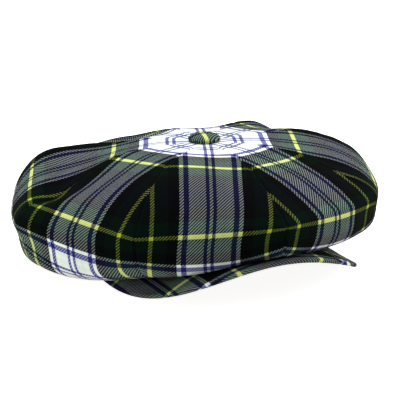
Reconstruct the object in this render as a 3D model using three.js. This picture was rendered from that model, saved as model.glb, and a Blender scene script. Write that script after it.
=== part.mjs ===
// An eight-panel cloth cap with a button on top and an arched peak, lying on a flat surface.
// Millimetres, +Z up, front of the cap towards -Y. Left and right are the wearer's, so left is +X.
// The crown is worked out around the button's axis. At the end the cap is centred over its own footprint.

import * as THREE from 'three';

// Cloth and stitching
const CLOTH_WALL = 1.8;
const SEAM_GAP = 0.36;
const SEAT_GAP = 0.3;
const CROWN_ON_PEAK_GAP = 0.7;

// Crown
const PANELS_PER_SIDE = ['front', 'side_front', 'side_back', 'back'];
const PANEL_ANGLE = Math.PI / 4;
const APEX_HOLE_RADIUS = 2.6;
const PANEL_STATIONS = 30;
const PANEL_COLUMNS = 9;
const SLOPE_STEP = { along: 0.5, share: 0.01 };
const NARROWEST_HALF = 0.1;

// One row for each station down the middle of a panel, from the apex to the band.
// seamDrop is how far the cloth sinks from the middle of the panel to its seams.
// Below zero the seams stand up.
const PROFILE = [
  { radius: 0.0, height: 90.5, seamDrop: 0.0 },
  { radius: 14.6, height: 90.5, seamDrop: 0.0 },
  { radius: 31.2, height: 90.6, seamDrop: -0.9 },
  { radius: 49.4, height: 89.3, seamDrop: -0.8 },
  { radius: 72.5, height: 85.2, seamDrop: -0.3 },
  { radius: 97.4, height: 79.0, seamDrop: 2.6 },
  { radius: 118.3, height: 69.9, seamDrop: 3.3 },
  { radius: 130.4, height: 57.6, seamDrop: 3.0 },
  { radius: 137.4, height: 43.8, seamDrop: 4.6 },
  { radius: 136.4, height: 27.6, seamDrop: 7.4 },
  { radius: 130.6, height: 12.6, seamDrop: 7.9 },
  { radius: 118.9, height: 4.1, seamDrop: 5.8 },
  { radius: 104.3, height: 2.0, seamDrop: 3.0 },
  { radius: 95.5, height: 8.0, seamDrop: 1.5 },
  { radius: 92.0, height: 20.0, seamDrop: 0.5 },
];

// How the soft crown slumps: one row for each seam, azimuth in degrees from the front, + towards the left.
// reach moves the widest part outwards, shoulder raises the slope above it, lift raises the underside,
// and tuck draws the lower side in.
const SLUMP = [
  { azimuth: -180, reach: -2.5, shoulder: -4.8, lift: -3.0, tuck: 0.0 },
  { azimuth: -135, reach: 3.8, shoulder: -0.5, lift: -5.5, tuck: 3.4 },
  { azimuth: -90, reach: 2.0, shoulder: -7.4, lift: 0.5, tuck: 3.2 },
  { azimuth: -45, reach: -10.0, shoulder: 4.7, lift: 16.0, tuck: 0.0 },
  { azimuth: 0, reach: -7.5, shoulder: 1.4, lift: 29.0, tuck: 0.0 },
  { azimuth: 45, reach: -8.0, shoulder: -2.5, lift: 22.0, tuck: 0.8 },
  { azimuth: 90, reach: 2.5, shoulder: 4.8, lift: 0.5, tuck: 1.3 },
  { azimuth: 135, reach: 1.0, shoulder: -4.0, lift: -4.0, tuck: 0.0 },
];

// Where along the meridian each kind of slump acts (centre and spread, or start and end).
const SHOULDER_ZONE = { centre: 95, spread: 38 };
const REACH_ZONE = { centre: 150, spread: 40 };
const LIFT_ZONE = { start: 115, end: 190 };
const TUCK_ZONE = { centre: 168, spread: 15 };

// The crown sits further back than its button, and comes forward again towards the band.
const CROWN_SHIFT_BACK = 10;
const SHIFT_ZONE = { start: 0, end: 150 };
const RETURN_ZONE = { start: 170, end: 230 };
const BAND_SHIFT_SHARE = 0.3;

// Folds and dents, one row each: where on the crown, how high it stands, half width across, half length down.
const FOLDS = [
  { azimuth: 128, along: 92, height: 6.7, across: 15, down: 30 },
  { azimuth: -158, along: 95, height: -5.4, across: 24, down: 30 },
  { azimuth: -126, along: 112, height: 5.9, across: 18, down: 26 },
  { azimuth: 108, along: 100, height: -3.7, across: 20, down: 30 },
  { azimuth: -135, along: 62, height: -3.3, across: 40, down: 24 },
  { azimuth: -80, along: 66, height: 3.7, across: 34, down: 24 },
];

// Head band
const BAND_HALF_LENGTH = 100;
const BAND_HALF_WIDTH = 83;
const BAND_HEIGHT = 24;
const BAND_WALL = 2.2;
const BAND_SEGMENTS = 56;
const BAND_CENTRE_Y = CROWN_SHIFT_BACK * BAND_SHIFT_SHARE;
const RIM_LIFT = 29;
const BAND_BLEND_ZONE = { start: 185, margin: 4 };

// Peak
const PEAK_HALF_WIDTH = 90;
const PEAK_REACH = 123.2;
const PEAK_END_REACH = 3;
const PEAK_CORNER_POWER = 3;
const PEAK_END_TAPER = 0.8;
const PEAK_TAPER_POWER = 300;
const PEAK_SEAT_ANGLE = (83 * Math.PI) / 180;
const PEAK_THICKNESS = 3.4;
const PEAK_ARCH = 30.6;
const PEAK_ARCH_MIDDLE = -1.4;
const PEAK_ARCH_HALF_WIDTH = 88.6;
const PEAK_ARCH_POWER = 2.05;
const PEAK_COLUMNS = 35;
const PEAK_ROWS = 8;

// Where the crown's underside rides on the peak: it fades in behind the peak's ends and out beside them.
const PEAK_END_ZONE = { start: -25, end: 8 };
const PEAK_SIDE_ZONE = { start: 90, end: 104 };

// Button
const BUTTON_RADIUS = 12;
const BUTTON_HEIGHT = 6;
const BUTTON_EDGE = 1.6;
const BUTTON_SEGMENTS = 28;
const BUTTON_DOME_STEPS = 6;

const COLOURS = { crown: 0x454d50, band: 0x23282b, peak: 0x30383a, button: 0x1c2322 };

// Small maths

const clamp01 = (value) => Math.min(1, Math.max(0, value));

function smoothstep(zone, value) {
  const t = clamp01((value - zone.start) / (zone.end - zone.start));
  return t * t * (3 - 2 * t);
}

function bell(zone, value) {
  const t = (value - zone.centre) / zone.spread;
  return Math.exp(-t * t);
}

function spline(a, b, c, d, t) {
  return 0.5 * (2 * b + (c - a) * t + (2 * a - 5 * b + 4 * c - d) * t * t + (3 * b - a - 3 * c + d) * t ** 3);
}

function wrapDegrees(angle) {
  return ((((angle + 180) % 360) + 360) % 360) - 180;
}

// Smooth value of one slump column at any azimuth, closing on itself at the back.
function slumpAt(column, azimuth) {
  const step = 360 / SLUMP.length;
  const place = (wrapDegrees(azimuth) + 180) / step;
  const first = Math.floor(place);
  const value = (offset) => SLUMP[(first + offset + SLUMP.length) % SLUMP.length][column];
  return spline(value(-1), value(0), value(1), value(2), place - first);
}

// Meridian of a panel: smooth curve through the profile, measured by its length from the apex

function sampleMeridian(stepsPerSpan = 24) {
  const before = { ...PROFILE[1], radius: -PROFILE[1].radius };
  const [last, prior] = [PROFILE.at(-1), PROFILE.at(-2)];
  const after = {
    radius: 2 * last.radius - prior.radius,
    height: 2 * last.height - prior.height,
    seamDrop: 2 * last.seamDrop - prior.seamDrop,
  };
  const rows = [before, ...PROFILE, after];
  const samples = [];
  for (let i = 1; i + 2 < rows.length; i += 1) {
    for (let k = 0; k < stepsPerSpan; k += 1) {
      samples.push(blendRows(rows, i, k / stepsPerSpan));
    }
  }
  samples.push({ ...last });
  samples[0].along = 0;
  for (let i = 1; i < samples.length; i += 1) {
    const dr = samples[i].radius - samples[i - 1].radius;
    const dz = samples[i].height - samples[i - 1].height;
    samples[i].along = samples[i - 1].along + Math.hypot(dr, dz);
  }
  return samples;
}

function blendRows(rows, i, t) {
  const column = (name) => spline(rows[i - 1][name], rows[i][name], rows[i + 1][name], rows[i + 2][name], t);
  return { radius: column('radius'), height: column('height'), seamDrop: column('seamDrop') };
}

const MERIDIAN = sampleMeridian();
const MERIDIAN_LENGTH = MERIDIAN.at(-1).along;

function meridianAt(along) {
  let i = MERIDIAN.findIndex((sample) => sample.along > along);
  i = i < 1 ? (i === 0 ? 1 : MERIDIAN.length - 1) : i;
  const [low, high] = [MERIDIAN[i - 1], MERIDIAN[i]];
  const t = (along - low.along) / (high.along - low.along);
  const mix = (name) => low[name] + (high[name] - low[name]) * t;
  const [dr, dz] = [high.radius - low.radius, high.height - low.height];
  const length = Math.hypot(dr, dz);
  return {
    radius: mix('radius'),
    height: mix('height'),
    seamDrop: mix('seamDrop'),
    normal: { radius: -dz / length, height: dr / length },
  };
}

// Panel in its own frame: x out from the axis along the panel's middle, y across it, z up

function panelPoint(along, share) {
  const { radius, height, seamDrop, normal } = meridianAt(along);
  const half = (radius - seamDrop * normal.radius) * Math.tan(PANEL_ANGLE / 2) - SEAM_GAP / 2;
  const drop = seamDrop * share * share;
  return new THREE.Vector3(radius - drop * normal.radius, half * share, height - drop * normal.height);
}

// The cloth's inner face, kept on its own side of the seams.
function panelInnerPoint(along, share) {
  const { along: stepAlong, share: stepShare } = SLOPE_STEP;
  const down = panelPoint(along + stepAlong, share).sub(panelPoint(along - stepAlong, share));
  const across = panelPoint(along, share + stepShare).sub(panelPoint(along, share - stepShare));
  const normal = down.cross(across).normalize();
  const point = panelPoint(along, share).addScaledVector(normal, -CLOTH_WALL);
  const half = Math.max(point.x * Math.tan(PANEL_ANGLE / 2) - SEAM_GAP / 2, NARROWEST_HALF);
  const limit = half * Math.abs(share);
  if (Math.abs(point.y) > limit) point.y = Math.sign(share) * limit;
  return point;
}

// Slump: moves a point of the round crown to where the soft cloth lies

function bandRadius(azimuth) {
  const [c, s] = [Math.cos(azimuth), Math.sin(azimuth)];
  return 1 / Math.hypot(c / (BAND_HALF_LENGTH + SEAT_GAP), s / (BAND_HALF_WIDTH + SEAT_GAP));
}

function foldHeight(azimuthDegrees, along, radius) {
  let height = 0;
  for (const fold of FOLDS) {
    const across = (wrapDegrees(azimuthDegrees - fold.azimuth) * Math.PI * radius) / 180;
    const away = (across / fold.across) ** 2 + ((along - fold.along) / fold.down) ** 2;
    height += fold.height * Math.exp(-away);
  }
  return height;
}

// Height of what lies under the crown: the surface, or the peak's top.
function supportUnder(x, y) {
  const share = smoothstep(PEAK_END_ZONE, -y) * (1 - smoothstep(PEAK_SIDE_ZONE, Math.abs(x)));
  return share * (peakUnderside(x) + PEAK_THICKNESS + CROWN_ON_PEAK_GAP);
}

function slumped(point, azimuth, along, wall) {
  const dir = { x: Math.sin(azimuth), y: -Math.cos(azimuth) };
  let x = point.x * dir.x - point.y * dir.y;
  let y = point.x * dir.y + point.y * dir.x;
  const angle = Math.atan2(x, -y);
  const degrees = (angle * 180) / Math.PI;
  const radius = Math.hypot(x, y);

  const blendEnd = MERIDIAN_LENGTH - BAND_BLEND_ZONE.margin;
  const toBand = smoothstep({ start: BAND_BLEND_ZONE.start, end: blendEnd }, along);
  const bandEdge = bandRadius(angle) + radius - PROFILE.at(-1).radius;
  const tucked = slumpAt('tuck', degrees) * bell(TUCK_ZONE, along);
  const spread = radius + slumpAt('reach', degrees) * bell(REACH_ZONE, along) - tucked;
  const newRadius = spread + (bandEdge - spread) * toBand;
  x *= newRadius / radius;
  y *= newRadius / radius;

  const returned = (1 - BAND_SHIFT_SHARE) * smoothstep(RETURN_ZONE, along);
  y += CROWN_SHIFT_BACK * smoothstep(SHIFT_ZONE, along) * (1 - returned);
  let z = point.z + slumpAt('shoulder', degrees) * bell(SHOULDER_ZONE, along);
  z += slumpAt('lift', degrees) * smoothstep(LIFT_ZONE, along) + foldHeight(degrees, along, radius);
  if (along > LIFT_ZONE.start) z = Math.max(z, supportUnder(x, y) + wall);
  return new THREE.Vector3(x, y, z);
}

// Closed meshes from grids of points

function geometryFrom(points, triangles) {
  const geometry = new THREE.BufferGeometry();
  const numbers = points.flatMap((point) => point.toArray());
  geometry.setAttribute('position', new THREE.Float32BufferAttribute(numbers, 3));
  geometry.setIndex(signedVolume(points, triangles) > 0 ? triangles : triangles.toReversed());
  geometry.computeVertexNormals();
  return geometry;
}

function signedVolume(points, triangles) {
  let volume = 0;
  for (let i = 0; i < triangles.length; i += 3) {
    const [a, b, c] = [0, 1, 2].map((k) => points[triangles[i + k]]);
    volume += a.dot(new THREE.Vector3().crossVectors(b, c)) / 6;
  }
  return volume;
}

// A sheet with a face, a back and walls round its edge.
function sheetGeometry(face, back) {
  const [rows, columns] = [face.length, face[0].length];
  const points = [...face.flat(), ...back.flat()];
  const count = rows * columns;
  const at = (i, j) => i * columns + j;
  const triangles = [];
  for (let i = 0; i + 1 < rows; i += 1) {
    for (let j = 0; j + 1 < columns; j += 1) {
      const [a, b, c, d] = [at(i, j), at(i + 1, j), at(i + 1, j + 1), at(i, j + 1)];
      triangles.push(a, b, c, a, c, d);
      triangles.push(c + count, b + count, a + count, d + count, c + count, a + count);
    }
  }
  const rim = rimOf(rows, columns, at);
  for (let k = 0; k < rim.length; k += 1) {
    const [p, q] = [rim[k], rim[(k + 1) % rim.length]];
    triangles.push(q, p, p + count, q, p + count, q + count);
  }
  return geometryFrom(points, triangles);
}

function rimOf(rows, columns, at) {
  const rim = [];
  for (let i = 0; i + 1 < rows; i += 1) rim.push(at(i, 0));
  for (let j = 0; j + 1 < columns; j += 1) rim.push(at(rows - 1, j));
  for (let i = rows - 1; i > 0; i -= 1) rim.push(at(i, columns - 1));
  for (let j = columns - 1; j > 0; j -= 1) rim.push(at(0, j));
  return rim;
}

// A ring made of equal closed sections.
function ringGeometry(sections) {
  const [count, size] = [sections.length, sections[0].length];
  const triangles = [];
  for (let k = 0; k < count; k += 1) {
    for (let m = 0; m < size; m += 1) {
      const [n, o] = [((k + 1) % count) * size, (m + 1) % size];
      triangles.push(k * size + m, n + m, n + o, k * size + m, n + o, k * size + o);
    }
  }
  return geometryFrom(sections.flat(), triangles);
}

function grid(rows, columns, pointAt) {
  return Array.from({ length: rows }, (_, i) =>
    Array.from({ length: columns }, (_, j) => pointAt(i / (rows - 1), j / (columns - 1))));
}

// Pieces

function clothMesh(name, geometry, colour) {
  const material = new THREE.MeshStandardMaterial({ color: colour, roughness: 0.9, metalness: 0 });
  const mesh = new THREE.Mesh(geometry, material);
  mesh.name = name;
  return mesh;
}

function crownPanel(name, azimuth) {
  const alongAt = (t) => APEX_HOLE_RADIUS + (MERIDIAN_LENGTH - APEX_HOLE_RADIUS) * t;
  const face = grid(PANEL_STATIONS, PANEL_COLUMNS, (t, u) =>
    slumped(panelPoint(alongAt(t), 2 * u - 1), azimuth, alongAt(t), 0));
  const back = grid(PANEL_STATIONS, PANEL_COLUMNS, (t, u) =>
    slumped(panelInnerPoint(alongAt(t), 2 * u - 1), azimuth, alongAt(t), CLOTH_WALL));
  return clothMesh(name, sheetGeometry(face, back), COLOURS.crown);
}

function rimHeight(forward) {
  return RIM_LIFT * clamp01(forward / BAND_HALF_LENGTH) ** 2;
}

function headBand() {
  const sections = Array.from({ length: BAND_SEGMENTS }, (_, k) => {
    const angle = (2 * Math.PI * k) / BAND_SEGMENTS;
    const at = (inset, up) => {
      const forward = (BAND_HALF_LENGTH - inset) * Math.cos(angle);
      const side = (BAND_HALF_WIDTH - inset) * Math.sin(angle);
      const rim = rimHeight(BAND_HALF_LENGTH * Math.cos(angle));
      return new THREE.Vector3(side, BAND_CENTRE_Y - forward, rim + up);
    };
    const levels = [0, BAND_HEIGHT / 2, BAND_HEIGHT];
    const outside = levels.map((up) => at(0, up));
    const inside = levels.toReversed().map((up) => at(BAND_WALL, up));
    return [...outside, ...inside];
  });
  return clothMesh('head_band', ringGeometry(sections), COLOURS.band);
}

// Arched across the front, down to the surface at its ends. Columns crowd towards the ends.
function peakUnderside(x) {
  const aside = Math.abs(x - PEAK_ARCH_MIDDLE) / PEAK_ARCH_HALF_WIDTH;
  return PEAK_ARCH * Math.max(0, 1 - aside ** PEAK_ARCH_POWER);
}

function peakPlan(across, outward) {
  const seat = across * PEAK_SEAT_ANGLE;
  const inner = new THREE.Vector2(
    (BAND_HALF_WIDTH + SEAT_GAP) * Math.sin(seat),
    (BAND_HALF_LENGTH + SEAT_GAP) * Math.cos(seat) - BAND_CENTRE_Y,
  );
  const turn = (across * Math.PI) / 2;
  const round = 2 / PEAK_CORNER_POWER;
  const outer = new THREE.Vector2(
    PEAK_HALF_WIDTH * Math.sign(turn) * Math.abs(Math.sin(turn)) ** round,
    PEAK_END_REACH + (PEAK_REACH - PEAK_END_REACH) * Math.abs(Math.cos(turn)) ** round,
  );
  const taper = 1 - PEAK_END_TAPER * Math.abs(across) ** PEAK_TAPER_POWER;
  return inner.lerp(outer, outward * taper);
}

function peak() {
  const layer = (up) => grid(PEAK_ROWS, PEAK_COLUMNS, (outward, u) => {
    const plan = peakPlan(Math.sin((u - 0.5) * Math.PI), outward);
    return new THREE.Vector3(plan.x, -plan.y, peakUnderside(plan.x) + up);
  });
  return clothMesh('peak', sheetGeometry(layer(PEAK_THICKNESS), layer(0)), COLOURS.peak);
}

function button() {
  const base = PROFILE[0].height + SEAT_GAP;
  const outline = [new THREE.Vector2(0, base), new THREE.Vector2(BUTTON_RADIUS - BUTTON_EDGE / 2, base)];
  for (let k = 0; k < BUTTON_DOME_STEPS; k += 1) {
    const turn = (k / BUTTON_DOME_STEPS) * (Math.PI / 2);
    const height = BUTTON_EDGE + (BUTTON_HEIGHT - BUTTON_EDGE) * Math.sin(turn);
    outline.push(new THREE.Vector2(BUTTON_RADIUS * Math.cos(turn), base + height));
  }
  outline.push(new THREE.Vector2(0, base + BUTTON_HEIGHT));
  const geometry = new THREE.LatheGeometry(outline, BUTTON_SEGMENTS);
  geometry.rotateX(Math.PI / 2);
  return clothMesh('button', geometry, COLOURS.button);
}

// The cap, standing on z = 0 with its footprint centred on the origin

function buildCap() {
  const cap = new THREE.Group();
  PANELS_PER_SIDE.forEach((place, index) => {
    const azimuth = PANEL_ANGLE * (index + 0.5);
    cap.add(crownPanel(`panel_${place}_left`, azimuth));
    cap.add(crownPanel(`panel_${place}_right`, -azimuth));
  });
  cap.add(headBand(), peak(), button());
  const box = new THREE.Box3().setFromObject(cap, true);
  const centre = box.getCenter(new THREE.Vector3());
  cap.position.set(-centre.x, -centre.y, -box.min.z);
  return cap;
}

export default buildCap();
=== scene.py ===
"""Dresses an eight-panel cloth cap in its twill tartan and lays it on a pale studio floor.

The classes work in millimetres around the button's axis, and the meshes are set in metres in the
frame's own place. The front of the cap faces -Y, and left is the wearer's left, +X.
"""

import logging
import math
from bisect import bisect_right
from dataclasses import dataclass, field
from enum import Enum
from typing import Callable, NamedTuple

import bmesh
import bpy
from mathutils import Matrix, Quaternion, Vector, noise


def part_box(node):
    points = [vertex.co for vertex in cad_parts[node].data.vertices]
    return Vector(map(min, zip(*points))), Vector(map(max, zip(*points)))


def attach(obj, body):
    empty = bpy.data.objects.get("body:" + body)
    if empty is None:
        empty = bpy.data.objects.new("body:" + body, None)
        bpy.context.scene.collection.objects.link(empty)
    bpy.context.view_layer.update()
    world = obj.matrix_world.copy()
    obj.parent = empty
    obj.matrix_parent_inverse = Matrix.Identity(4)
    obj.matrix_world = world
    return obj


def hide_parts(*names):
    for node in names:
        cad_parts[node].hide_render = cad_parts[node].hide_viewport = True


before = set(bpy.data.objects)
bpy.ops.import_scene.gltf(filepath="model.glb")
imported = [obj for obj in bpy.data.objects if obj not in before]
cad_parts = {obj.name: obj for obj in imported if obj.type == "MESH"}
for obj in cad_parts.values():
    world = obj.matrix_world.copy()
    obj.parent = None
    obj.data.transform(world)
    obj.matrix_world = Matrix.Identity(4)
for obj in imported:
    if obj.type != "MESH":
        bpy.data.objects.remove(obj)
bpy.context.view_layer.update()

MM = 0.001
MERGE_DISTANCE = 0.02
BODY = "root"
CLOTH_MAP = "cloth"
LOG = logging.getLogger("cap")

BMesh = bmesh.types.BMesh
BMVert = bmesh.types.BMVert
Material = bpy.types.Material
Piece = bpy.types.Object
Socket = bpy.types.NodeSocket
Colour = tuple[float, float, float, float]
PURE_BLACK: Colour = (0.0, 0.0, 0.0, 1.0)
PURE_WHITE: Colour = (1.0, 1.0, 1.0, 1.0)


# Small maths


class Zone(NamedTuple):
    """A stretch over which something fades in."""

    start: float
    end: float

    def share(self, value: float) -> float:
        """Smooth share, 0 before the zone and 1 after it."""
        t = min(1.0, max(0.0, (value - self.start) / (self.end - self.start)))
        return t * t * (3 - 2 * t)


class Hump(NamedTuple):
    """A bell-shaped stretch."""

    centre: float
    spread: float

    def share(self, value: float) -> float:
        """Share of the hump's height at a value."""
        return math.exp(-(((value - self.centre) / self.spread) ** 2))


def spline(a: float, b: float, c: float, d: float, t: float) -> float:
    """Value between b and c on a smooth curve through four even points.

    Args:
        a, b, c, d: the four values.
        t: share of the way from b to c.

    Returns:
        The curve's value.
    """
    linear = (c - a) * t
    square = (2 * a - 5 * b + 4 * c - d) * t * t
    cube = (3 * b - a - 3 * c + d) * t**3
    return 0.5 * (2 * b + linear + square + cube)


def between(first: float, second: float, share: float) -> float:
    """Value at a share of the way from the first to the second."""
    return first + (second - first) * share


def stretch_of(row: int, counts: tuple[int, ...]) -> tuple[int, float]:
    """Finds a row among stretches of rows that follow each other.

    Args:
        row: the row, counted from the start of the first stretch.
        counts: how many rows each stretch has.

    Returns:
        The stretch's index, and the row's share of the way along it.
    """
    index = 0
    while row > counts[index]:
        row -= counts[index]
        index += 1
    return index, row / counts[index]


def wrap_degrees(angle: float) -> float:
    """The same angle between -180 and 180."""
    return (angle + 180) % 360 - 180


# Cloth pattern and finishes


class Yarn(Enum):
    """Dyed yarns of the cloth, as linear colours."""

    WHITE = (0.84, 0.89, 0.83)
    NAVY = (0.050, 0.047, 0.230)
    MIDNIGHT = (0.004, 0.005, 0.014)
    BLACK = (0.0050, 0.0058, 0.0064)
    GREEN = (0.005, 0.018, 0.0115)
    YELLOW = (0.52, 0.57, 0.085)
    TAPE = (0.006, 0.007, 0.008)

    @property
    def rgba(self) -> Colour:
        """The colour with full cover."""
        return (*self.value, 1.0)


class Stripe(NamedTuple):
    """One stripe of the sett, with its width in millimetres of weft."""

    yarn: Yarn
    width: float


@dataclass(frozen=True)
class Sett:
    """The tartan's stripes from the middle of the white group to the middle of the dark group."""

    stripes: tuple[Stripe, ...] = (
        Stripe(Yarn.WHITE, 1.05),
        Stripe(Yarn.NAVY, 2.25),
        Stripe(Yarn.WHITE, 12.7),
        Stripe(Yarn.NAVY, 4.1),
        Stripe(Yarn.WHITE, 2.9),
        Stripe(Yarn.BLACK, 8.05),
        Stripe(Yarn.GREEN, 10.3),
        Stripe(Yarn.YELLOW, 3.3),
        Stripe(Yarn.GREEN, 10.3),
        Stripe(Yarn.BLACK, 10.0),
        Stripe(Yarn.MIDNIGHT, 4.2),
        Stripe(Yarn.BLACK, 2.2),
        Stripe(Yarn.MIDNIGHT, 3.9),
    )
    warp_share: float = 0.942
    weft_pitch: float = 0.625

    @property
    def half_repeat(self) -> float:
        """Millimetres of weft from pivot to pivot."""
        return sum(stripe.width for stripe in self.stripes)

    def start_of(self, index: int) -> float:
        """Share of the half repeat where a stripe starts."""
        return sum(stripe.width for stripe in self.stripes[:index]) / self.half_repeat

    def middle_of(self, index: int) -> float:
        """Millimetres of weft from the white pivot to the middle of a stripe."""
        return self.start_of(index) * self.half_repeat + self.stripes[index].width / 2

    @property
    def yellow(self) -> int:
        """Index of the yellow stripe."""
        return [stripe.yarn for stripe in self.stripes].index(Yarn.YELLOW)

    @property
    def broad_white(self) -> int:
        """Index of the widest white stripe."""
        whites = [k for k, stripe in enumerate(self.stripes) if stripe.yarn is Yarn.WHITE]
        return max(whites, key=lambda k: self.stripes[k].width)


class Graph:
    """A thin hand on a node tree: adds nodes, sets their sockets and joins them."""

    def __init__(self, tree: bpy.types.NodeTree) -> None:
        """Keeps the tree that the nodes go into."""
        self.tree = tree

    def node(self, kind: str, **settings: object) -> bpy.types.Node:
        """Adds a node.

        Args:
            kind: the node's type name without its ShaderNode start.
            settings: properties of the node.

        Returns:
            The new node.
        """
        made = self.tree.nodes.new("ShaderNode" + kind)
        for name, value in settings.items():
            setattr(made, name, value)
        return made

    def feed(self, socket: Socket, value: object) -> None:
        """Joins an output to a socket, or sets the socket to a plain value."""
        if isinstance(value, Socket):
            self.tree.links.new(value, socket)
        else:
            socket.default_value = value

    def fill(self, node: bpy.types.Node, **values: object) -> bpy.types.Node:
        """Feeds a node's sockets by name, with spaces written as underscores, and gives it back."""
        for name, value in values.items():
            self.feed(node.inputs[name.replace("_", " ")], value)
        return node

    def math(self, operation: str, *values: object) -> Socket:
        """Adds a Math node.

        Args:
            operation: the node's operation.
            values: numbers or outputs for its inputs.

        Returns:
            The result.
        """
        made = self.node("Math", operation=operation)
        for socket, value in zip(made.inputs, values):
            self.feed(socket, value)
        return made.outputs[0]

    def mix(self, share: object, first: object, second: object, blend: str = "MIX") -> Socket:
        """Adds a colour Mix node.

        Args:
            share: how much of the second colour shows.
            first: the first colour.
            second: the second colour.
            blend: the blend type.

        Returns:
            The mixed colour.
        """
        made = self.node("Mix", data_type="RGBA", blend_type=blend)
        factor = next(s for s in made.inputs if s.identifier == "Factor_Float")
        colours = [s for s in made.inputs if s.identifier in ("A_Color", "B_Color")]
        self.feed(factor, share)
        for socket, value in zip(colours, (first, second)):
            self.feed(socket, value)
        return next(s for s in made.outputs if s.identifier == "Result_Color")

    def faded(self, colour: Socket, power: float) -> Socket:
        """The colour, paler with a smaller power; white and black stay."""
        return self.fill(self.node("Gamma"), Color=colour, Gamma=power).outputs["Color"]

    def spots(self, scale: float, detail: float) -> Socket:
        """Soft spots of noise over a piece, from 0 to 1."""
        place = self.node("TexCoord").outputs["Object"]
        return self.fill(self.node("TexNoise"), Vector=place, Scale=scale, Detail=detail).outputs["Fac"]

    def pick(self, mask: object, low: object, high: object) -> Socket:
        """A value that is low where the mask is 0 and high where it is 1."""
        made = self.node("Mix", data_type="FLOAT")
        for index, value in ((0, mask), (2, low), (3, high)):
            self.feed(made.inputs[index], value)
        return made.outputs[0]


class Direction(Enum):
    """Which side of a group a socket is on."""

    IN = "INPUT"
    OUT = "OUTPUT"


class SocketKind(Enum):
    """Kinds of group socket."""

    VALUE = "NodeSocketFloat"
    COLOUR = "NodeSocketColor"
    VECTOR = "NodeSocketVector"


class NodeGroup:
    """A shader node group with named sockets, built once."""

    def __init__(self, name: str, takes: dict[str, SocketKind], gives: dict[str, SocketKind]) -> None:
        """Makes the group and its sockets.

        Args:
            name: the group's name.
            takes: its inputs.
            gives: its outputs.
        """
        self.tree = bpy.data.node_groups.new(name, "ShaderNodeTree")
        for direction, sockets in ((Direction.IN, takes), (Direction.OUT, gives)):
            for socket, kind in sockets.items():
                self.tree.interface.new_socket(socket, in_out=direction.value, socket_type=kind.value)
        self.graph = Graph(self.tree)
        self.entry = self.tree.nodes.new("NodeGroupInput").outputs
        self.exit = self.tree.nodes.new("NodeGroupOutput").inputs

    def placed(self, graph: Graph, **values: object) -> bpy.types.NodeOutputs:
        """Places the group in another tree, fills its inputs by name and gives its outputs."""
        return graph.fill(graph.node("Group", node_tree=self.tree), **values).outputs


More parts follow.
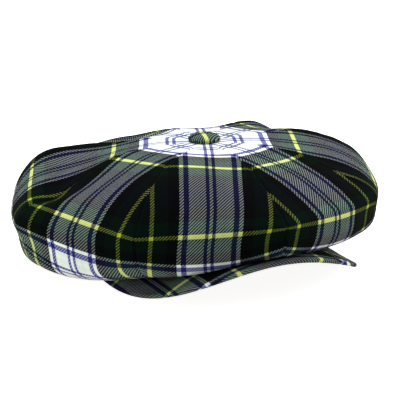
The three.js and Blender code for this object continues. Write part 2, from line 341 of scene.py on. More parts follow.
@dataclass
class WeaveLibrary:
    """The node groups that the cap's cloths share.

    A fade makes a colour paler where shade is painted: the lower thread's colour is painted as shade on
    a floating one, and the product of both is painted as shade in the hollows between threads.
    """

    sett: Sett = field(default_factory=Sett)
    threads_per_repeat: int = 4
    float_length: int = 2
    thread_unevenness: float = 0.16
    thread_roundness: float = 8.0
    float_roundness: float = 1.6
    # Thread heights over which the painted shade of the hollows gives way to the float's own colour.
    crest_zone: Zone = Zone(0.4, 0.9)
    # Gamma powers that pale the painted shade: on a float, and in the hollows.
    lower_shade_fade: float = 0.52
    hollow_shade_fade: float = 0.72
    twill: NodeGroup = field(init=False)
    stripes: NodeGroup = field(init=False)
    tartan: NodeGroup = field(init=False)

    def __post_init__(self) -> None:
        """Builds the groups in the order in which they use each other."""
        self.twill = self.build_twill()
        self.stripes = self.build_stripes()
        self.tartan = self.build_tartan()

    def build_twill(self) -> NodeGroup:
        """Interlaces warp and weft two over, two under, each pick one thread further along.

        Returns:
            A group that takes cloth coordinates and thread pitches in metres. It gives the place of
            the warp and the weft thread, a mask that is 1 where the warp is on top, and the height.
        """
        value = SocketKind.VALUE
        group = NodeGroup(
            "twill_weave",
            {"Cloth": SocketKind.VECTOR, "Warp Pitch": value, "Weft Pitch": value},
            {"Warp Place": value, "Weft Place": value, "Warp Thread": value, "Weft Thread": value,
             "Warp On Top": value, "Height": value},
        )
        graph = group.graph
        split = graph.node("SeparateXYZ")
        graph.feed(split.inputs[0], group.entry["Cloth"])
        threads, insides = {}, {}
        for name, place in (("Warp", split.outputs[0]), ("Weft", split.outputs[1])):
            pitch = group.entry[f"{name} Pitch"]
            count = graph.math("DIVIDE", place, pitch)
            threads[name] = graph.math("FLOOR", count)
            insides[name] = graph.math("SUBTRACT", count, threads[name])
            middle = graph.math("ADD", threads[name], 0.5)
            graph.feed(group.exit[f"{name} Place"], graph.math("MULTIPLY", middle, pitch))
            graph.feed(group.exit[f"{name} Thread"], threads[name])
        step = graph.math("ADD", threads["Warp"], threads["Weft"])
        phase = graph.math("FLOORED_MODULO", step, float(self.threads_per_repeat))
        on_top = graph.math("LESS_THAN", phase, self.float_length - 0.5)
        graph.feed(group.exit["Warp On Top"], on_top)

        across = graph.pick(on_top, insides["Weft"], insides["Warp"])
        later = graph.math("SUBTRACT", phase, float(self.float_length))
        steps = graph.pick(on_top, later, phase)
        inside = graph.pick(on_top, insides["Warp"], insides["Weft"])
        along = graph.math("DIVIDE", graph.math("ADD", steps, inside), float(self.float_length))
        round_across = self.arch(graph, across, self.thread_roundness)
        round_along = self.arch(graph, along, self.float_roundness)
        graph.feed(group.exit["Height"], graph.math("MULTIPLY", round_across, round_along))
        return group

    @staticmethod
    def arch(graph: Graph, share: Socket, power: float) -> Socket:
        """A hump from 0 through 1 to 0 as share goes from 0 to 1, flatter with a higher power."""
        centred = graph.math("MULTIPLY_ADD", share, 2.0, -1.0)
        edge = graph.math("POWER", graph.math("ABSOLUTE", centred), power)
        return graph.math("SUBTRACT", 1.0, edge)

    def build_stripes(self) -> NodeGroup:
        """Colours a thread by its place in the sett.

        Returns:
            A group that takes a place and the half repeat in metres, and gives the yarn's colour.
        """
        value = SocketKind.VALUE
        group = NodeGroup(
            "tartan_stripes", {"Place": value, "Half Repeat": value}, {"Colour": SocketKind.COLOUR}
        )
        graph = group.graph
        half = group.entry["Half Repeat"]
        folded = graph.math("PINGPONG", group.entry["Place"], half)
        ramp = graph.node("ValToRGB")
        graph.feed(ramp.inputs[0], graph.math("DIVIDE", folded, half))
        ramp.color_ramp.interpolation = "CONSTANT"
        stops = ramp.color_ramp.elements
        for index, stripe in enumerate(self.sett.stripes):
            start = self.sett.start_of(index)
            stop = stops[0] if index == 0 else stops.new(start)
            stop.position = start
            stop.color = stripe.yarn.rgba
        stops.remove(stops[len(stops) - 1])
        graph.feed(group.exit["Colour"], ramp.outputs[0])
        return group

    def build_tartan(self) -> NodeGroup:
        """Weaves the sett both ways, paints shade on each float from the thread below it and paints
        shade into the hollows.

        Returns:
            A group that takes cloth coordinates in metres and how much of its own colour a floating
            thread shows unshaded. It gives colour with its painted shade, and thread height.
        """
        group = NodeGroup(
            "tartan_cloth",
            {"Cloth": SocketKind.VECTOR, "Float Share": SocketKind.VALUE},
            {"Colour": SocketKind.COLOUR, "Height": SocketKind.VALUE},
        )
        graph = group.graph
        shares = {"Warp": self.sett.warp_share, "Weft": 1.0}
        pitches = {name: self.sett.weft_pitch * MM * share for name, share in shares.items()}
        halves = {name: self.sett.half_repeat * MM * share for name, share in shares.items()}
        woven = self.twill.placed(
            graph, Cloth=group.entry["Cloth"], Warp_Pitch=pitches["Warp"], Weft_Pitch=pitches["Weft"]
        )
        colours = {}
        for name in shares:
            striped = self.stripes.placed(graph, Place=woven[f"{name} Place"], Half_Repeat=halves[name])
            colours[name] = self.uneven(graph, striped["Colour"], woven[f"{name} Thread"])
        on_top = woven["Warp On Top"]
        upper = graph.mix(on_top, colours["Weft"], colours["Warp"])
        lower = graph.mix(on_top, colours["Warp"], colours["Weft"])
        # Painted shade: a floating thread is darkened by part of the lower thread's colour.
        lower_thread_shade = graph.faded(lower, self.lower_shade_fade)
        painted_float_shade = graph.mix(group.entry["Float Share"], lower_thread_shade, PURE_WHITE)
        shaded_float = graph.mix(1.0, upper, painted_float_shade, "MULTIPLY")
        # Painted shade in the hollows between threads: the product of both colours, shown where the
        # threads are low.
        both = graph.mix(1.0, colours["Warp"], colours["Weft"], "MULTIPLY")
        painted_hollow_shade = graph.faded(both, self.hollow_shade_fade)
        low, high = self.crest_zone
        crest = graph.node("MapRange", interpolation_type="SMOOTHSTEP")
        graph.fill(crest, Value=woven["Height"], From_Min=low, From_Max=high)
        graph.feed(group.exit["Colour"], graph.mix(crest.outputs[0], painted_hollow_shade, shaded_float))
        graph.feed(group.exit["Height"], woven["Height"])
        return group

    def uneven(self, graph: Graph, colour: Socket, thread: Socket) -> Socket:
        """Makes some threads a little darker than others."""
        random = graph.fill(graph.node("TexWhiteNoise", noise_dimensions="1D"), W=thread)
        strength = graph.math("MULTIPLY", random.outputs["Value"], self.thread_unevenness)
        return graph.mix(strength, colour, PURE_BLACK)


def new_material(name: str) -> tuple[Material, Graph, bpy.types.Node]:
    """A new material, its node tree and its Principled shader."""
    made = bpy.data.materials.new(name)
    made.use_nodes = True
    return made, Graph(made.node_tree), made.node_tree.nodes["Principled BSDF"]


@dataclass(frozen=True)
class ClothFinish:
    """How one cloth takes the light.

    The float share is how much of its own colour a floating thread shows, where the rest is painted
    shade from the thread below. The thread depth is in millimetres.
    """

    name: str
    sheen: float = 0.004
    sheen_roughness: float = 0.45
    specular: float = 0.02
    roughness: float = 0.86
    roughness_spread: float = 0.10
    thread_depth: float = 0.22
    thread_relief: float = 0.6
    mottle: float = 0.14
    mottle_scale: float = 55.0
    mottle_detail: float = 3.0
    # Share of a float's own colour left without the painted shade from the thread below.
    float_unshaded_share: float = 0.32

    def material(self, weave: WeaveLibrary) -> Material:
        """Makes the cloth's material.

        Args:
            weave: the shared node groups.

        Returns:
            The material.
        """
        made, graph, shader = new_material(self.name)
        cloth_map = graph.node("UVMap", uv_map=CLOTH_MAP).outputs[0]
        colour, height = self.woven(graph, weave, cloth_map)
        spots = graph.spots(self.mottle_scale, self.mottle_detail)
        patchy = graph.math("MULTIPLY", spots, self.mottle)
        bump = graph.node("Bump")
        graph.fill(bump, Strength=self.thread_relief, Distance=self.thread_depth * MM, Height=height)
        graph.fill(
            shader,
            Base_Color=graph.mix(patchy, colour, PURE_BLACK),
            Roughness=graph.math("MULTIPLY_ADD", spots, self.roughness_spread, self.roughness),
            Normal=bump.outputs["Normal"],
            Sheen_Weight=self.sheen,
            Sheen_Roughness=self.sheen_roughness,
            Specular_IOR_Level=self.specular,
        )
        return made

    def woven(self, graph: Graph, weave: WeaveLibrary, cloth_map: Socket) -> tuple[Socket, Socket]:
        """The cloth's colour with its painted weave shade, and thread height, for cloth coordinates in
        metres.
        """
        woven = weave.tartan.placed(graph, Cloth=cloth_map, Float_Share=self.float_unshaded_share)
        return woven["Colour"], woven["Height"]


@dataclass(frozen=True)
class TapeFinish(ClothFinish):
    """Plain dark twill tape."""

    thread_pitch: float = 0.42

    def woven(self, graph: Graph, weave: WeaveLibrary, cloth_map: Socket) -> tuple[Socket, Socket]:
        """The tape's colour, with painted shade that runs to black in the hollows between threads, and
        its thread height.

        Args:
            graph: the material's tree.
            weave: the shared node groups.
            cloth_map: cloth coordinates in metres.

        Returns:
            The two outputs.
        """
        pitch = self.thread_pitch * MM
        woven = weave.twill.placed(graph, Cloth=cloth_map, Warp_Pitch=pitch, Weft_Pitch=pitch)
        # Painted shade: the tape's colour runs to black where the threads are low.
        colour = graph.mix(woven["Height"], PURE_BLACK, Yarn.TAPE.rgba)
        return weave.uneven(graph, colour, woven["Weft Thread"]), woven["Height"]


# Meshes


def close_up(made: BMesh) -> None:
    """Merges doubled points and turns the faces outwards."""
    bmesh.ops.remove_doubles(made, verts=made.verts, dist=MERGE_DISTANCE)
    bmesh.ops.recalc_face_normals(made, faces=made.faces)


def map_cloth(made: BMesh, place: Callable[[BMVert], Vector]) -> None:
    """Smooths the faces and maps them to the flat cloth.

    Args:
        made: the bmesh.
        place: gives a vertex's place on the cloth in millimetres.
    """
    cloth = made.loops.layers.uv.new(CLOTH_MAP)
    for face in made.faces:
        face.smooth = True
        for loop in face.loops:
            loop[cloth].uv = place(loop.vert) * MM


def add_object(name: str, data: bpy.types.ID) -> Piece:
    """Puts a new object with its data in the scene."""
    made = bpy.data.objects.new(name, data)
    bpy.context.scene.collection.objects.link(made)
    return made


def add_mesh(name: str, made: BMesh, material: Material) -> Piece:
    """Puts a bmesh in the scene as an object, and frees it."""
    mesh = bpy.data.meshes.new(name)
    made.to_mesh(mesh)
    made.free()
    mesh.materials.append(material)
    return add_object(name, mesh)


class Surface(NamedTuple):
    """A point of a piece and its place on the flat cloth, in millimetres."""

    point: Vector
    cloth: Vector


@dataclass
class ClothGrid:
    """A grid of cloth whose points are laid on a surface."""

    columns: int
    rows: int

    def lay(self, surface: Callable[[int, int], Surface]) -> BMesh:
        """Makes the grid and lays it on the surface.

        Args:
            surface: gives the point for a column and a row, with rows counted from the far edge.

        Returns:
            The bmesh in millimetres, with its cloth map in metres.
        """
        made = bmesh.new()
        bmesh.ops.create_grid(made, x_segments=self.columns, y_segments=self.rows, size=1.0)
        cloth = {}
        for index, vert in enumerate(made.verts):
            vert.co, cloth[vert] = surface(*self.place_of(index))
        map_cloth(made, lambda vert: cloth[vert])
        return made

    def place_of(self, index: int) -> tuple[int, int]:
        """Column and row of a vertex, from the order in which the grid makes them."""
        above, column = divmod(index, self.columns + 1)
        return column, self.rows - above


@dataclass
class Workshop:
    """Turns bmeshes into pieces of the cap in the frame's place."""

    axis: Vector

    def piece(self, name: str, made: BMesh, material: Material, slot: str) -> Piece:
        """Scales a bmesh to metres, moves it to the button's axis and makes it a piece.

        Args:
            name: the CAD node that the piece stands for, and its own name.
            made: the bmesh in millimetres, which is used up.
            material: the piece's finish.
            slot: not used.

        Returns:
            The piece, riding on the cap's body.
        """
        bmesh.ops.scale(made, vec=(MM, MM, MM), verts=made.verts)
        bmesh.ops.translate(made, vec=self.axis, verts=made.verts)
        piece = add_mesh(name + "_dressed", made, material)
        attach(piece, BODY)
        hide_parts(name)
        LOG.info("%s: %d faces", piece.name, len(piece.data.polygons))
        return piece


# Peak


@dataclass
class Peak:
    """The stiffened peak: cloth rolled over the edge of an arched board."""

    half_width: float = 90.0
    reach: float = 123.2
    end_reach: float = 3.0
    corner_power: float = 3.0
    end_taper: float = 0.8
    taper_power: float = 300.0
    seat_angle: float = math.radians(83)
    thickness: float = 3.4
    arch: float = 30.6
    arch_middle: float = -1.4
    arch_half_width: float = 88.6
    arch_power: float = 2.05
    closing_power: float = 60.0
    white_middle: Vector = field(default_factory=lambda: Vector((-77.5, 133.5)))
    columns: int = 120
    face_rows: int = 26
    roll_rows: int = 8
    seat_rows: int = 2

    def underside(self, x: float) -> float:
        """Height of the board's underside."""
        aside = abs(x - self.arch_middle) / self.arch_half_width
        return self.arch * max(0.0, 1 - aside**self.arch_power)

    def seat(self, across: float, band: "HeadBand") -> Vector:
        """Plan point on the band's face, as x and forward."""
        turn = across * self.seat_angle
        length, width = band.half_length + band.seat_gap, band.half_width + band.seat_gap
        return Vector((width * math.sin(turn), length * math.cos(turn) - band.centre_y))

    def rim(self, across: float, band: "HeadBand") -> Vector:
        """Plan point on the outer edge, as x and forward."""
        turn = across * math.pi / 2
        round_power = 2 / self.corner_power
        side = math.copysign(abs(math.sin(turn)) ** round_power, turn)
        front = abs(math.cos(turn)) ** round_power
        outer = Vector((self.half_width * side, between(self.end_reach, self.reach, front)))
        taper = 1 - self.end_taper * abs(across) ** self.taper_power
        return self.seat(across, band).lerp(outer, taper)

    def arc(self, x: float, steps: int = 24) -> float:
        """Length of cloth over the arch from the middle to x."""
        length, last = 0.0, self.underside(0.0)
        for k in range(1, steps + 1):
            height = self.underside(x * k / steps)
            length += math.hypot(x / steps, height - last)
            last = height
        return math.copysign(length, x)

    def section(self, row: int) -> tuple[float, float]:
        """Where a row lies round the board's section.

        Args:
            row: rows run out on top, round the edge, back underneath and up the seat.

        Returns:
            Share of the way out to the edge, and the turn round it: 0 on top, pi underneath.
        """
        counts = (self.face_rows, self.roll_rows, self.face_rows, self.seat_rows)
        stretch, share = stretch_of(row, counts)
        turn = math.pi * share
        return ((share, 0.0), (1.0, turn), (1 - share, math.pi), (0.0, math.pi - turn))[stretch]

    def surface(self, column: int, row: int, band: "HeadBand") -> Surface:
        """Point of the cover and its place on the cloth.

        Args:
            column: column from the wearer's right to left.
            row: row round the section.
            band: the band that the peak is sewn to.

        Returns:
            The point and its cloth place.
        """
        spread = 2 * column / self.columns - 1
        across = math.sin(spread * math.pi / 2)
        outward, turn = self.section(row)
        inner, outer = self.seat(across, band), self.rim(across, band)
        radius = self.thickness / 2 * math.sqrt(max(0.0, 1 - abs(across) ** self.closing_power))
        direction = (outer - inner).normalized()
        board_edge = outer - direction * radius
        plan = inner.lerp(board_edge, outward)
        rolled = outward == 1.0
        out = plan + direction * radius * math.sin(turn) if rolled else plan
        height = self.underside(plan.x) + self.thickness / 2 + radius * math.cos(turn)
        over = plan + direction * radius * turn if rolled else plan
        cloth = Vector((over.y - self.white_middle.y, self.white_middle.x - self.arc(over.x)))
        return Surface(Vector((out.x, -out.y, height)), cloth)

    def build(self, shop: Workshop, band: "HeadBand", material: Material) -> Piece:
        """Makes the peak.

        Args:
            shop: places the piece.
            band: the band that the peak is sewn to.
            material: the peak's finish.

        Returns:
            The piece.
        """
        rows = 2 * self.face_rows + self.roll_rows + self.seat_rows
        made = ClothGrid(self.columns, rows).lay(lambda column, row: self.surface(column, row, band))
        close_up(made)
        return shop.piece("peak", made, material, "peak_cloth")


# Head band


@dataclass
class HeadBand:
    """The upright band inside the crown, an oval ring with rolled edges."""

    half_length: float = 100.0
    half_width: float = 83.0
    height: float = 24.0
    wall: float = 2.2
    rim_lift: float = 29.0
    seat_gap: float = 0.3
    centre_y: float = 3.0
    columns: int = 200
    face_rows: int = 12
    roll_rows: int = 6

    def radius(self, angle: float) -> float:
        """Distance from the axis to the crown's seat on the band, at an angle from the front."""
        long = math.cos(angle) / (self.half_length + self.seat_gap)
        wide = math.sin(angle) / (self.half_width + self.seat_gap)
        return 1 / math.hypot(long, wide)

    def rim_height(self, forward: float) -> float:
        """Height of the band's lower rim, which arches over the brow."""
        return self.rim_lift * min(1.0, max(0.0, forward / self.half_length)) ** 2

    def section(self, row: int) -> tuple[float, float]:
        """Where a row lies round the band's section.

        Args:
            row: rows run up the outside, over the top, down the inside and round the bottom.

        Returns:
            How far in from the outer face, and how far up.
        """
        radius = self.wall / 2
        straight = self.height - 2 * radius
        stretch, share = stretch_of(row, (self.face_rows, self.roll_rows) * 2)
        turn = math.pi * share
        return (
            (0.0, radius + straight * share),
            (radius * (1 - math.cos(turn)), self.height - radius + radius * math.sin(turn)),
            (self.wall, radius + straight * (1 - share)),
            (radius * (1 + math.cos(turn)), radius - radius * math.sin(turn)),
        )[stretch]

    def surface(self, column: int, row: int) -> Surface:
        """Point of the band and its place on the tape."""
        angle = -2 * math.pi * column / self.columns
        inset, up = self.section(row)
        forward = (self.half_length - inset) * math.cos(angle)
        side = (self.half_width - inset) * math.sin(angle)
        rim = self.rim_height(self.half_length * math.cos(angle))
        around = self.perimeter * column / self.columns
        return Surface(Vector((side, self.centre_y - forward, rim + up)), Vector((around, up + inset)))

    @property
    def perimeter(self) -> float:
        """Length round the outside of the oval."""
        a, b = self.half_length, self.half_width
        return math.pi * (3 * (a + b) - math.sqrt((3 * a + b) * (a + 3 * b)))

    def build(self, shop: Workshop, material: Material) -> Piece:
        """Makes the band.

        Args:
            shop: places the piece.
            material: the band's finish.

        Returns:
            The piece.
        """
        rows = 2 * (self.face_rows + self.roll_rows)
        made = ClothGrid(self.columns, rows).lay(self.surface)
        close_up(made)
        piece = shop.piece("head_band", made, material, "band_cloth")
        return piece


# Crown


class Station(NamedTuple):
    """One row down the middle of a panel, from the apex to the band."""

    radius: float
    height: float
    seam_drop: float


class Slump(NamedTuple):
    """How the soft crown lies at one seam: widest part, slope, underside and drawn-in lower side."""

    azimuth: float
    reach: float
    shoulder: float
    lift: float
    tuck: float


class Fold(NamedTuple):
    """A fold or dent: its place, how high it stands, half width across and half length down."""

    azimuth: float
    along: float
    height: float
    across: float
    down: float


class MeridianPoint(NamedTuple):
    """A place on the meridian, with the outward normal in the meridian's plane."""

    radius: float
    height: float
    seam_drop: float
    normal_out: float
    normal_up: float


@dataclass
class CrownForm:
    """The surface of the soft crown, panel by panel."""

    band: HeadBand
    peak: Peak
    panel_angle: float = math.pi / 4
    apex_hole: float = 2.6
    profile: tuple[Station, ...] = (
        Station(0.0, 90.5, 0.0),
        Station(14.6, 90.5, 0.0),
        Station(31.2, 90.6, -0.9),
        Station(49.4, 89.3, -0.8),
        Station(72.5, 85.2, -0.3),
        Station(97.4, 79.0, 2.6),
        Station(118.3, 69.9, 3.3),
        Station(130.4, 57.6, 3.0),
        Station(137.4, 43.8, 4.6),
        Station(136.4, 27.6, 7.4),
        Station(130.6, 12.6, 7.9),
        Station(118.9, 4.1, 5.8),
        Station(104.3, 2.0, 3.0),
        Station(95.5, 8.0, 1.5),
        Station(92.0, 20.0, 0.5),
    )
    slump: tuple[Slump, ...] = (
        Slump(-180, -2.5, -4.8, -3.0, 0.0),
        Slump(-135, 3.8, -0.5, -5.5, 3.4),
        Slump(-90, 2.0, -7.4, 0.5, 3.2),
        Slump(-45, -10.0, 4.7, 16.0, 0.0),
        Slump(0, -7.5, 1.4, 29.0, 0.0),
        Slump(45, -8.0, -2.5, 22.0, 0.8),
        Slump(90, 2.5, 4.8, 0.5, 1.3),
        Slump(135, 1.0, -4.0, -4.0, 0.0),
    )
    folds: tuple[Fold, ...] = (
        Fold(128, 92, 6.7, 15, 30),
        Fold(-158, 95, -5.4, 24, 30),
        Fold(-126, 112, 5.9, 18, 26),
        Fold(113, 100, -5.2, 19, 32),
        Fold(-135, 62, -3.3, 40, 24),
        Fold(-80, 66, 3.7, 34, 24),
        Fold(-112, 100, -2.0, 14, 26),
        Fold(-88, 112, -4.5, 13, 15),
    )
    shoulder_zone: Hump = Hump(95, 38)
    reach_zone: Hump = Hump(150, 40)
    lift_zone: Zone = Zone(115, 190)
    tuck_zone: Hump = Hump(168, 15)
    shift_back: float = 10.0
    shift_zone: Zone = Zone(0, 150)
    return_zone: Zone = Zone(170, 230)
    band_shift_share: float = 0.3
    band_blend_start: float = 185.0
    band_blend_margin: float = 4.0
    peak_end_zone: Zone = Zone(-25, 8)
    peak_side_zone: Zone = Zone(90, 104)
    crown_on_peak_gap: float = 0.7
    meridian: list[Station] = field(init=False)
    lengths: list[float] = field(init=False)

    def __post_init__(self) -> None:
        """Samples the meridian once."""
        self.meridian, self.lengths = self.sample_meridian()

    def sample_meridian(self, steps: int = 24) -> tuple[list[Station], list[float]]:
        """Smooth curve through the profile.

        Args:
            steps: samples in each span.

        Returns:
            The samples, and how far along the curve each one is.
        """
        first, second = self.profile[0], self.profile[1]
        prior, last = self.profile[-2], self.profile[-1]
        before = second._replace(radius=2 * first.radius - second.radius)
        after = Station(*(2 * b - a for a, b in zip(prior, last)))
        rows = [before, *self.profile, after]
        samples = []
        for i in range(1, len(rows) - 2):
            columns = list(zip(*rows[i - 1:i + 3]))
            for k in range(steps):
                samples.append(Station(*(spline(*column, k / steps) for column in columns)))
        samples.append(last)
        lengths = [0.0]
        for a, b in zip(samples, samples[1:]):
            lengths.append(lengths[-1] + math.hypot(b.radius - a.radius, b.height - a.height))
        return samples, lengths

    @property
    def length(self) -> float:
        """Length of the meridian from the apex to the band."""
        return self.lengths[-1]

    def meridian_at(self, along: float) -> MeridianPoint:
        """The place at a distance along the meridian."""
        i = min(max(bisect_right(self.lengths, along), 1), len(self.lengths) - 1)
        low, high = self.meridian[i - 1], self.meridian[i]
        span = self.lengths[i] - self.lengths[i - 1]
        t = (along - self.lengths[i - 1]) / span
        place = (between(a, b, t) for a, b in zip(low, high))
        normal_out = (low.height - high.height) / span
        normal_up = (high.radius - low.radius) / span
        return MeridianPoint(*place, normal_out, normal_up)

    def half_width(self, along: float) -> float:
        """Half the width of a panel, straight across."""
        at = self.meridian_at(along)
        return (at.radius - at.seam_drop * at.normal_out) * math.tan(self.panel_angle / 2)

    def panel_point(self, along: float, share: float) -> Vector:
        """Point of a round panel in its own frame: x out along its middle, y across it, z up."""
        at = self.meridian_at(along)
        drop = at.seam_drop * share * share
        out = at.radius - drop * at.normal_out
        return Vector((out, self.half_width(along) * share, at.height - drop * at.normal_up))

    def slump_at(self, column: str, azimuth: float) -> float:
        """Smooth value of one slump column at any azimuth in degrees, closing on itself."""
        count = len(self.slump)
        place = (wrap_degrees(azimuth) + 180) / 360 * count
        first = math.floor(place)
        rows = (self.slump[(first + offset) % count] for offset in (-1, 0, 1, 2))
        return spline(*(getattr(row, column) for row in rows), place - first)

    def fold_height(self, azimuth: float, along: float, radius: float) -> float:
        """How far the folds raise a place, with the azimuth in degrees."""
        height = 0.0
        for fold in self.folds:
            across = math.radians(wrap_degrees(azimuth - fold.azimuth)) * radius
            away = (across / fold.across) ** 2 + ((along - fold.along) / fold.down) ** 2
            height += fold.height * math.exp(-away)
        return height

    def support_under(self, x: float, y: float) -> float:
        """Height of what lies under the crown: the floor or the peak's top."""
        share = self.peak_end_zone.share(-y) * (1 - self.peak_side_zone.share(abs(x)))
        return share * (self.peak.underside(x) + self.peak.thickness + self.crown_on_peak_gap)

    def slumped(self, point: Vector, azimuth: float, along: float) -> Vector:
        """Moves a point of a round panel to where the soft cloth lies.

        Args:
            point: the point in the panel's frame.
            azimuth: the panel's middle, in radians from the front.
            along: distance from the apex along the meridian.

        Returns:
            The point around the button's axis.
        """
        turned = Matrix.Rotation(azimuth - math.pi / 2, 3, "Z") @ point
        angle = math.atan2(turned.x, -turned.y)
        degrees = math.degrees(angle)
        radius = math.hypot(turned.x, turned.y)

        to_band = Zone(self.band_blend_start, self.length - self.band_blend_margin).share(along)
        seat = self.band.radius(angle) + radius - self.profile[-1].radius
        spread = radius + self.slump_at("reach", degrees) * self.reach_zone.share(along)
        spread -= self.slump_at("tuck", degrees) * self.tuck_zone.share(along)
        stretch = between(spread, seat, to_band) / radius
        returned = (1 - self.band_shift_share) * self.return_zone.share(along)
        x = turned.x * stretch
        y = turned.y * stretch + self.shift_back * self.shift_zone.share(along) * (1 - returned)
        z = turned.z + self.slump_at("shoulder", degrees) * self.shoulder_zone.share(along)
        z += self.slump_at("lift", degrees) * self.lift_zone.share(along)
        z += self.fold_height(degrees, along, radius)
        if along > self.lift_zone.start:
            z = max(z, self.support_under(x, y))
        return Vector((x, y, z))


@dataclass
class CrownPanel:
    """One tapered panel of the crown, cut on the straight grain and sewn to its neighbours.

    The pattern lies aside to the left by the first value above the sway zone and by the second below
    it. Its drift raises it at the right and the left seam.
    """

    form: CrownForm
    name: str
    azimuth: float
    seed: float
    aside: tuple[float, float]
    drift: tuple[float, float]
    columns: int = 56
    rows: int = 150
    wall: float = 1.5
    white_pivot: float = 24.8
    groove: float = 0.8
    groove_zone: Zone = Zone(3, 12)
    at_seam: Hump = Hump(0.0, 1.2)
    pucker: float = 0.4
    pucker_pitch: float = 8.0
    pucker_layer: float = 0.5
    seams_apart: float = 7.3
    near_seam: Hump = Hump(0.0, 9.0)
    drape: float = 0.8
    drape_pitch: float = 36.0
    quiet_zone: Zone = Zone(185, 215)
    drift_zone: Zone = Zone(60, 110)
    sway_zone: Zone = Zone(120, 200)

    def share_at(self, column: int) -> float:
        """Share of the half width at a column; columns crowd towards the seams."""
        return math.sin((2 * column / self.columns - 1) * math.pi / 2)

    def along_at(self, row: int) -> float:
        """Distance along the meridian at a row."""
        return between(self.form.apex_hole, self.form.length, row / self.rows)

    def survey(self) -> dict[tuple[int, int], Surface]:
        """Lays out every point with its place on the flat cloth.

        Returns:
            The points by column and row. Across, the cloth place is the length of cloth from the
            panel's middle. Down, it is the meridian's length plus what slumping adds to the column.
        """
        columns, rows = range(self.columns + 1), range(self.rows + 1)
        bare, laid = {}, {}
        for row in rows:
            along = self.along_at(row)
            for column in columns:
                flat = self.form.panel_point(along, self.share_at(column))
                bare[column, row] = flat
                laid[column, row] = self.form.slumped(flat, self.azimuth, along)
        down = {}
        for column in columns:
            extra = 0.0
            for row in rows:
                if row:
                    here, above = (column, row), (column, row - 1)
                    extra += (laid[here] - laid[above]).length - (bare[here] - bare[above]).length
                down[column, row] = self.along_at(row) + extra
        result = {}
        for row in rows:
            along = self.along_at(row)
            across = [0.0]
            for column in columns[1:]:
                across.append(across[-1] + (laid[column, row] - laid[column - 1, row]).length)
            middle = across[self.columns // 2] + between(*self.aside, self.sway_zone.share(along))
            drifted = self.drift_zone.share(along)
            for column in columns:
                drift = drifted * between(*self.drift, across[column] / across[-1])
                place = Vector((across[column] - middle, down[column, row] - self.white_pivot + drift))
                result[column, row] = Surface(laid[column, row], place)
        return result

    def relief(self, point: Vector, normal: Vector, along: float, share: float) -> Vector:
        """How seams, puckers and drape move the cloth.

        Args:
            point: the point of the laid cloth.
            normal: the cloth's outward normal there.
            along: distance from the apex along the meridian.
            share: share of the half width, negative on the right.

        Returns:
            The move. At a seam it stays in the seam's upright plane, so that the panels keep together.
        """
        half = self.form.half_width(along)
        from_seam = half * (1 - abs(share))
        side = math.copysign(1.0, share)
        loud = 1 - self.quiet_zone.share(along)
        at_seam = self.at_seam.share(from_seam)
        groove = -self.groove * self.groove_zone.share(half) * at_seam
        place = (along / self.pucker_pitch, side * self.seams_apart + self.seed, self.pucker_layer)
        pucker = self.pucker * noise.noise(place) * self.near_seam.share(from_seam)
        drape = self.drape * noise.noise(point / self.drape_pitch)
        across = Vector((-point.y, point.x, 0.0)).normalized()
        outward = normal - across * normal.dot(across) * at_seam
        return outward * (groove + loud * (pucker + drape))

    def build(self, shop: Workshop, material: Material) -> Piece:
        """Makes the panel.

        Args:
            shop: places the piece.
            material: the crown's finish.

        Returns:
            The piece.
        """
        places = self.survey()
        grid = ClothGrid(self.columns, self.rows)
        made = grid.lay(lambda column, row: places[column, row])
        made.normal_update()
        for index, vert in enumerate(made.verts):
            column, row = grid.place_of(index)
            vert.co += self.relief(vert.co, vert.normal, self.along_at(row), self.share_at(column))
            vert.co.z = max(vert.co.z, 0.0)
        piece = shop.piece(self.name, made, material, "crown_cloth")
        wall = piece.modifiers.new("wall", "SOLIDIFY")
        wall.thickness = self.wall * MM
        wall.offset = -1.0
        return piece


@dataclass
class Crown:
    """Eight panels around the button.

    The pattern lies aside by panel, as the panel takes it, and drifts by the seam's azimuth in degrees.
    """

    form: CrownForm
    places: tuple[str, ...] = ("front", "side_front", "side_back", "back")
    pattern_aside: dict[str, tuple[float, float]] = field(
        default_factory=lambda: {
            "panel_front_right": (1.4, -2.6),
            "panel_front_left": (-1.6, -1.6),
            "panel_side_front_right": (0.0, -3.2),
            "panel_side_back_left": (-4.0, -4.0),
            "panel_side_back_right": (3.0, 3.0),
        }
    )
    pattern_drift: dict[int, float] = field(
        default_factory=lambda: {-45: -2.6, 0: 2.4, 45: -2.2, 90: 0.8}
    )
    seed_step: float = 3.1

    def build(self, shop: Workshop, material: Material) -> list[Piece]:
        """Makes the panels from the front to the back.

        Args:
            shop: places the pieces.
            material: the crown's finish.

        Returns:
            The panels.
        """
        panels = []
        for index, place in enumerate(self.places):
            for side, sign in (("left", 1), ("right", -1)):
                azimuth = sign * self.form.panel_angle * (index + 0.5)
                name = f"panel_{place}_{side}"
                panel = CrownPanel(
                    self.form, name, azimuth, seed=len(panels) * self.seed_step,
                    aside=self.pattern_aside.get(name, (0.0, 0.0)), drift=self.drift_at_seams(azimuth),
                )
                panels.append(panel.build(shop, material))
        return panels

    def drift_at_seams(self, azimuth: float) -> tuple[float, float]:
        """How far the pattern is raised at a panel's two seams, from right to left."""
        half = self.form.panel_angle / 2
        seams = (round(math.degrees(azimuth + side * half)) for side in (-1, 1))
        return tuple(self.pattern_drift.get(seam, 0.0) for seam in seams)


# Button


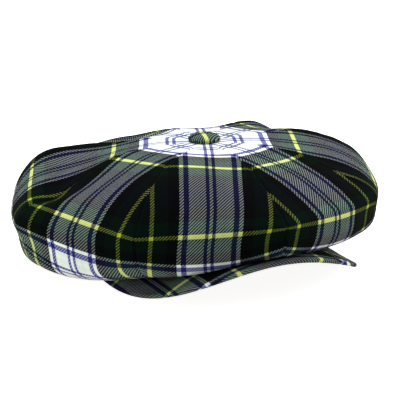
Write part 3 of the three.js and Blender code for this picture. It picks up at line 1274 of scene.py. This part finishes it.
@dataclass
class CoveredButton:
    """A domed button with its cloth gathered round the edge."""

    radius: float = 12.0
    height: float = 6.0
    edge: float = 1.6
    base: float = 90.8
    inner_ring: float = 0.55
    gathers: int = 18
    finer_gathers: int = 23
    finer_share: float = 0.5
    finer_phase: float = 1.0
    gather_depth: float = 0.35
    gather_start: float = 0.6
    steps: int = 72
    dome_steps: int = 10
    turn: float = math.radians(-8)
    yellow_aside: float = -1.4
    white_forward: float = -8.0

    def profile(self) -> list[Vector]:
        """Half outline from under the middle, round the edge and up to the top."""
        outline = [Vector((0.0, 0.0, 0.0)), Vector((self.inner_ring * self.radius, 0.0, 0.0))]
        outline.append(Vector((self.radius - self.edge / 2, 0.0, 0.0)))
        for k in range(self.dome_steps):
            turn = k / self.dome_steps * math.pi / 2
            up = between(self.edge, self.height, math.sin(turn))
            outline.append(Vector((self.radius * math.cos(turn), 0.0, up)))
        outline.append(Vector((0.0, 0.0, self.height)))
        return outline

    def build(self, shop: Workshop, sett: Sett, material: Material) -> Piece:
        """Makes the button.

        Args:
            shop: places the piece.
            sett: the tartan that covers it.
            material: the button's finish.

        Returns:
            The piece.
        """
        made = bmesh.new()
        verts = [made.verts.new(point) for point in self.profile()]
        edges = [made.edges.new(pair) for pair in zip(verts, verts[1:])]
        bmesh.ops.spin(
            made, geom=verts + edges, cent=(0, 0, 0), axis=(0, 0, 1), angle=2 * math.pi,
            steps=self.steps, use_merge=True,
        )
        close_up(made)
        for vert in made.verts:
            self.gather(vert)
        map_cloth(made, lambda vert: self.cloth_place(vert.co, sett))
        bmesh.ops.translate(made, vec=(0, 0, self.base), verts=made.verts)
        return shop.piece("button", made, material, "button_cloth")

    def gather(self, vert: BMVert) -> None:
        """Pulls the cloth into small pleats towards the lower edge."""
        radius = math.hypot(vert.co.x, vert.co.y)
        low = 1 - vert.co.z / self.height
        near_edge = Zone(self.gather_start * self.radius, self.radius).share(radius)
        angle = math.atan2(vert.co.y, vert.co.x)
        finer = math.cos(self.finer_gathers * angle + self.finer_phase)
        wave = math.cos(self.gathers * angle) + self.finer_share * finer
        inwards = self.gather_depth * low * near_edge * (1 + wave)
        if radius > 0:
            vert.co.xy *= (radius - inwards) / radius

    def cloth_place(self, point: Vector, sett: Sett) -> Vector:
        """Place on the cloth, which lies with a yellow stripe across a broad white one.

        Args:
            point: the point of the button.
            sett: the tartan.

        Returns:
            The place in millimetres.
        """
        aside = Vector((math.cos(self.turn), math.sin(self.turn), 0))
        near = Vector((math.sin(self.turn), -math.cos(self.turn), 0))
        yellow = sett.middle_of(sett.yellow) * sett.warp_share - self.yellow_aside
        white = sett.middle_of(sett.broad_white) + self.white_forward
        return Vector((point.dot(aside) + yellow, point.dot(near) + white))


# Studio


class Lamp(NamedTuple):
    """A square lamp: where it hangs, the length of its side and its watts."""

    name: str
    place: tuple[float, float, float]
    size: float
    power: float


@dataclass
class Studio:
    """Pale floor, soft lamps and a camera at the photograph's angle, in metres."""

    axis: Vector
    azimuth: float = math.radians(-26.13)
    elevation: float = math.radians(16.25)
    distance: float = 1.25
    aim_height: float = 0.046
    metres_per_pixel: float = 0.00074
    image_width: int = 400
    aim_pixel: tuple[float, float] = (205.0, 199.3)
    roll: float = math.radians(-0.71)
    sensor: float = 36.0
    surround: float = 0.06
    floor_radius: float = 6.0
    floor_sides: int = 96
    floor_pale: Colour = (0.73, 0.725, 0.715, 1.0)
    floor_spot: Colour = (0.70, 0.695, 0.685, 1.0)
    spot_scale: float = 3.0
    spot_detail: float = 2.0
    floor_roughness: float = 0.9
    floor_specular: float = 0.1
    floor_glow: float = 0.4
    seen_floor_glow: float = 1.31
    lamps: tuple[Lamp, ...] = (
        Lamp("overhead", (0.1, 0.1, 1.5), 1.6, 50.0),
        Lamp("right", (1.4, -0.3, 0.3), 0.9, 17.0),
        Lamp("left", (-1.4, 0.3, 0.2), 0.4, 9.0),
    )

    def build(self) -> None:
        """Sets up floor, light and camera."""
        self.floor()
        self.world()
        for lamp in self.lamps:
            self.hang(lamp)
        self.camera()

    def floor(self) -> None:
        """A wide pale disc."""
        made = bmesh.new()
        bmesh.ops.create_circle(made, cap_ends=True, segments=self.floor_sides, radius=self.floor_radius)
        paint, graph, shader = new_material("pale_floor")
        spots = graph.spots(self.spot_scale, self.spot_detail)
        pale = graph.mix(spots, self.floor_pale, self.floor_spot)
        seen = graph.node("LightPath").outputs["Is Camera Ray"]
        glow = graph.math("MULTIPLY_ADD", seen, self.seen_floor_glow - self.floor_glow, self.floor_glow)
        graph.fill(
            shader,
            Base_Color=pale,
            Emission_Color=pale,
            Emission_Strength=glow,
            Roughness=self.floor_roughness,
            Specular_IOR_Level=self.floor_specular,
        )
        floor = add_mesh("studio_floor", made, paint)

    def world(self) -> None:
        """Even white surroundings."""
        world = bpy.data.worlds.new("studio")
        world.use_nodes = True
        background = world.node_tree.nodes["Background"]
        Graph(world.node_tree).fill(background, Color=PURE_WHITE, Strength=self.surround)
        bpy.context.scene.world = world
        bpy.context.scene.view_settings.view_transform = "Standard"

    def hang(self, lamp: Lamp) -> None:
        """Hangs a lamp that faces the cap."""
        light = bpy.data.lights.new(lamp.name, "AREA")
        light.size = lamp.size
        light.energy = lamp.power
        made = add_object(lamp.name, light)
        made.location = lamp.place
        looks = Vector((0, 0, self.aim_height)) - made.location
        made.rotation_euler = looks.to_track_quat("-Z", "Y").to_euler()

    def camera(self) -> None:
        """The camera, turned so that the aim falls on its pixel."""
        a, e = self.azimuth, self.elevation
        back = Vector((math.sin(a) * math.cos(e), -math.cos(a) * math.cos(e), math.sin(e)))
        right = Vector((math.cos(a), math.sin(a), 0))
        up = back.cross(right)
        aim = self.axis + Vector((0, 0, self.aim_height))
        centre = self.image_width / 2
        aside = (centre - self.aim_pixel[0]) * self.metres_per_pixel
        above = (self.aim_pixel[1] - centre) * self.metres_per_pixel
        place = aim + back * self.distance
        looks = aim + right * aside + up * above - place
        data = bpy.data.cameras.new("camera")
        data.sensor_width = self.sensor
        data.lens = self.sensor * self.distance / (self.metres_per_pixel * self.image_width)
        made = add_object("camera", data)
        made.location = place
        turn = looks.to_track_quat("-Z", "Y") @ Quaternion((0, 0, 1), self.roll)
        made.rotation_euler = turn.to_euler()
        bpy.context.scene.camera = made


def main() -> None:
    """Builds the cap's pieces in order and sets the stage."""
    logging.basicConfig(level=logging.INFO, format="%(name)s %(message)s")
    low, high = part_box("button")
    axis = Vector(((low.x + high.x) / 2, (low.y + high.y) / 2, 0.0))
    shop = Workshop(axis)
    weave = WeaveLibrary()
    band = HeadBand()
    peak = Peak()
    tartan = ClothFinish("tartan_crown").material(weave)
    band.build(shop, TapeFinish("twill_tape").material(weave))
    peak.build(shop, band, ClothFinish("tartan_peak").material(weave))
    Crown(CrownForm(band, peak)).build(shop, tartan)
    # The button's cloth shows more painted shade from the thread below than the crown's does.
    button_finish = ClothFinish("tartan_button", float_unshaded_share=0.27)
    CoveredButton().build(shop, weave.sett, button_finish.material(weave))
    Studio(axis).build()


if __name__ == "__main__":
    main()
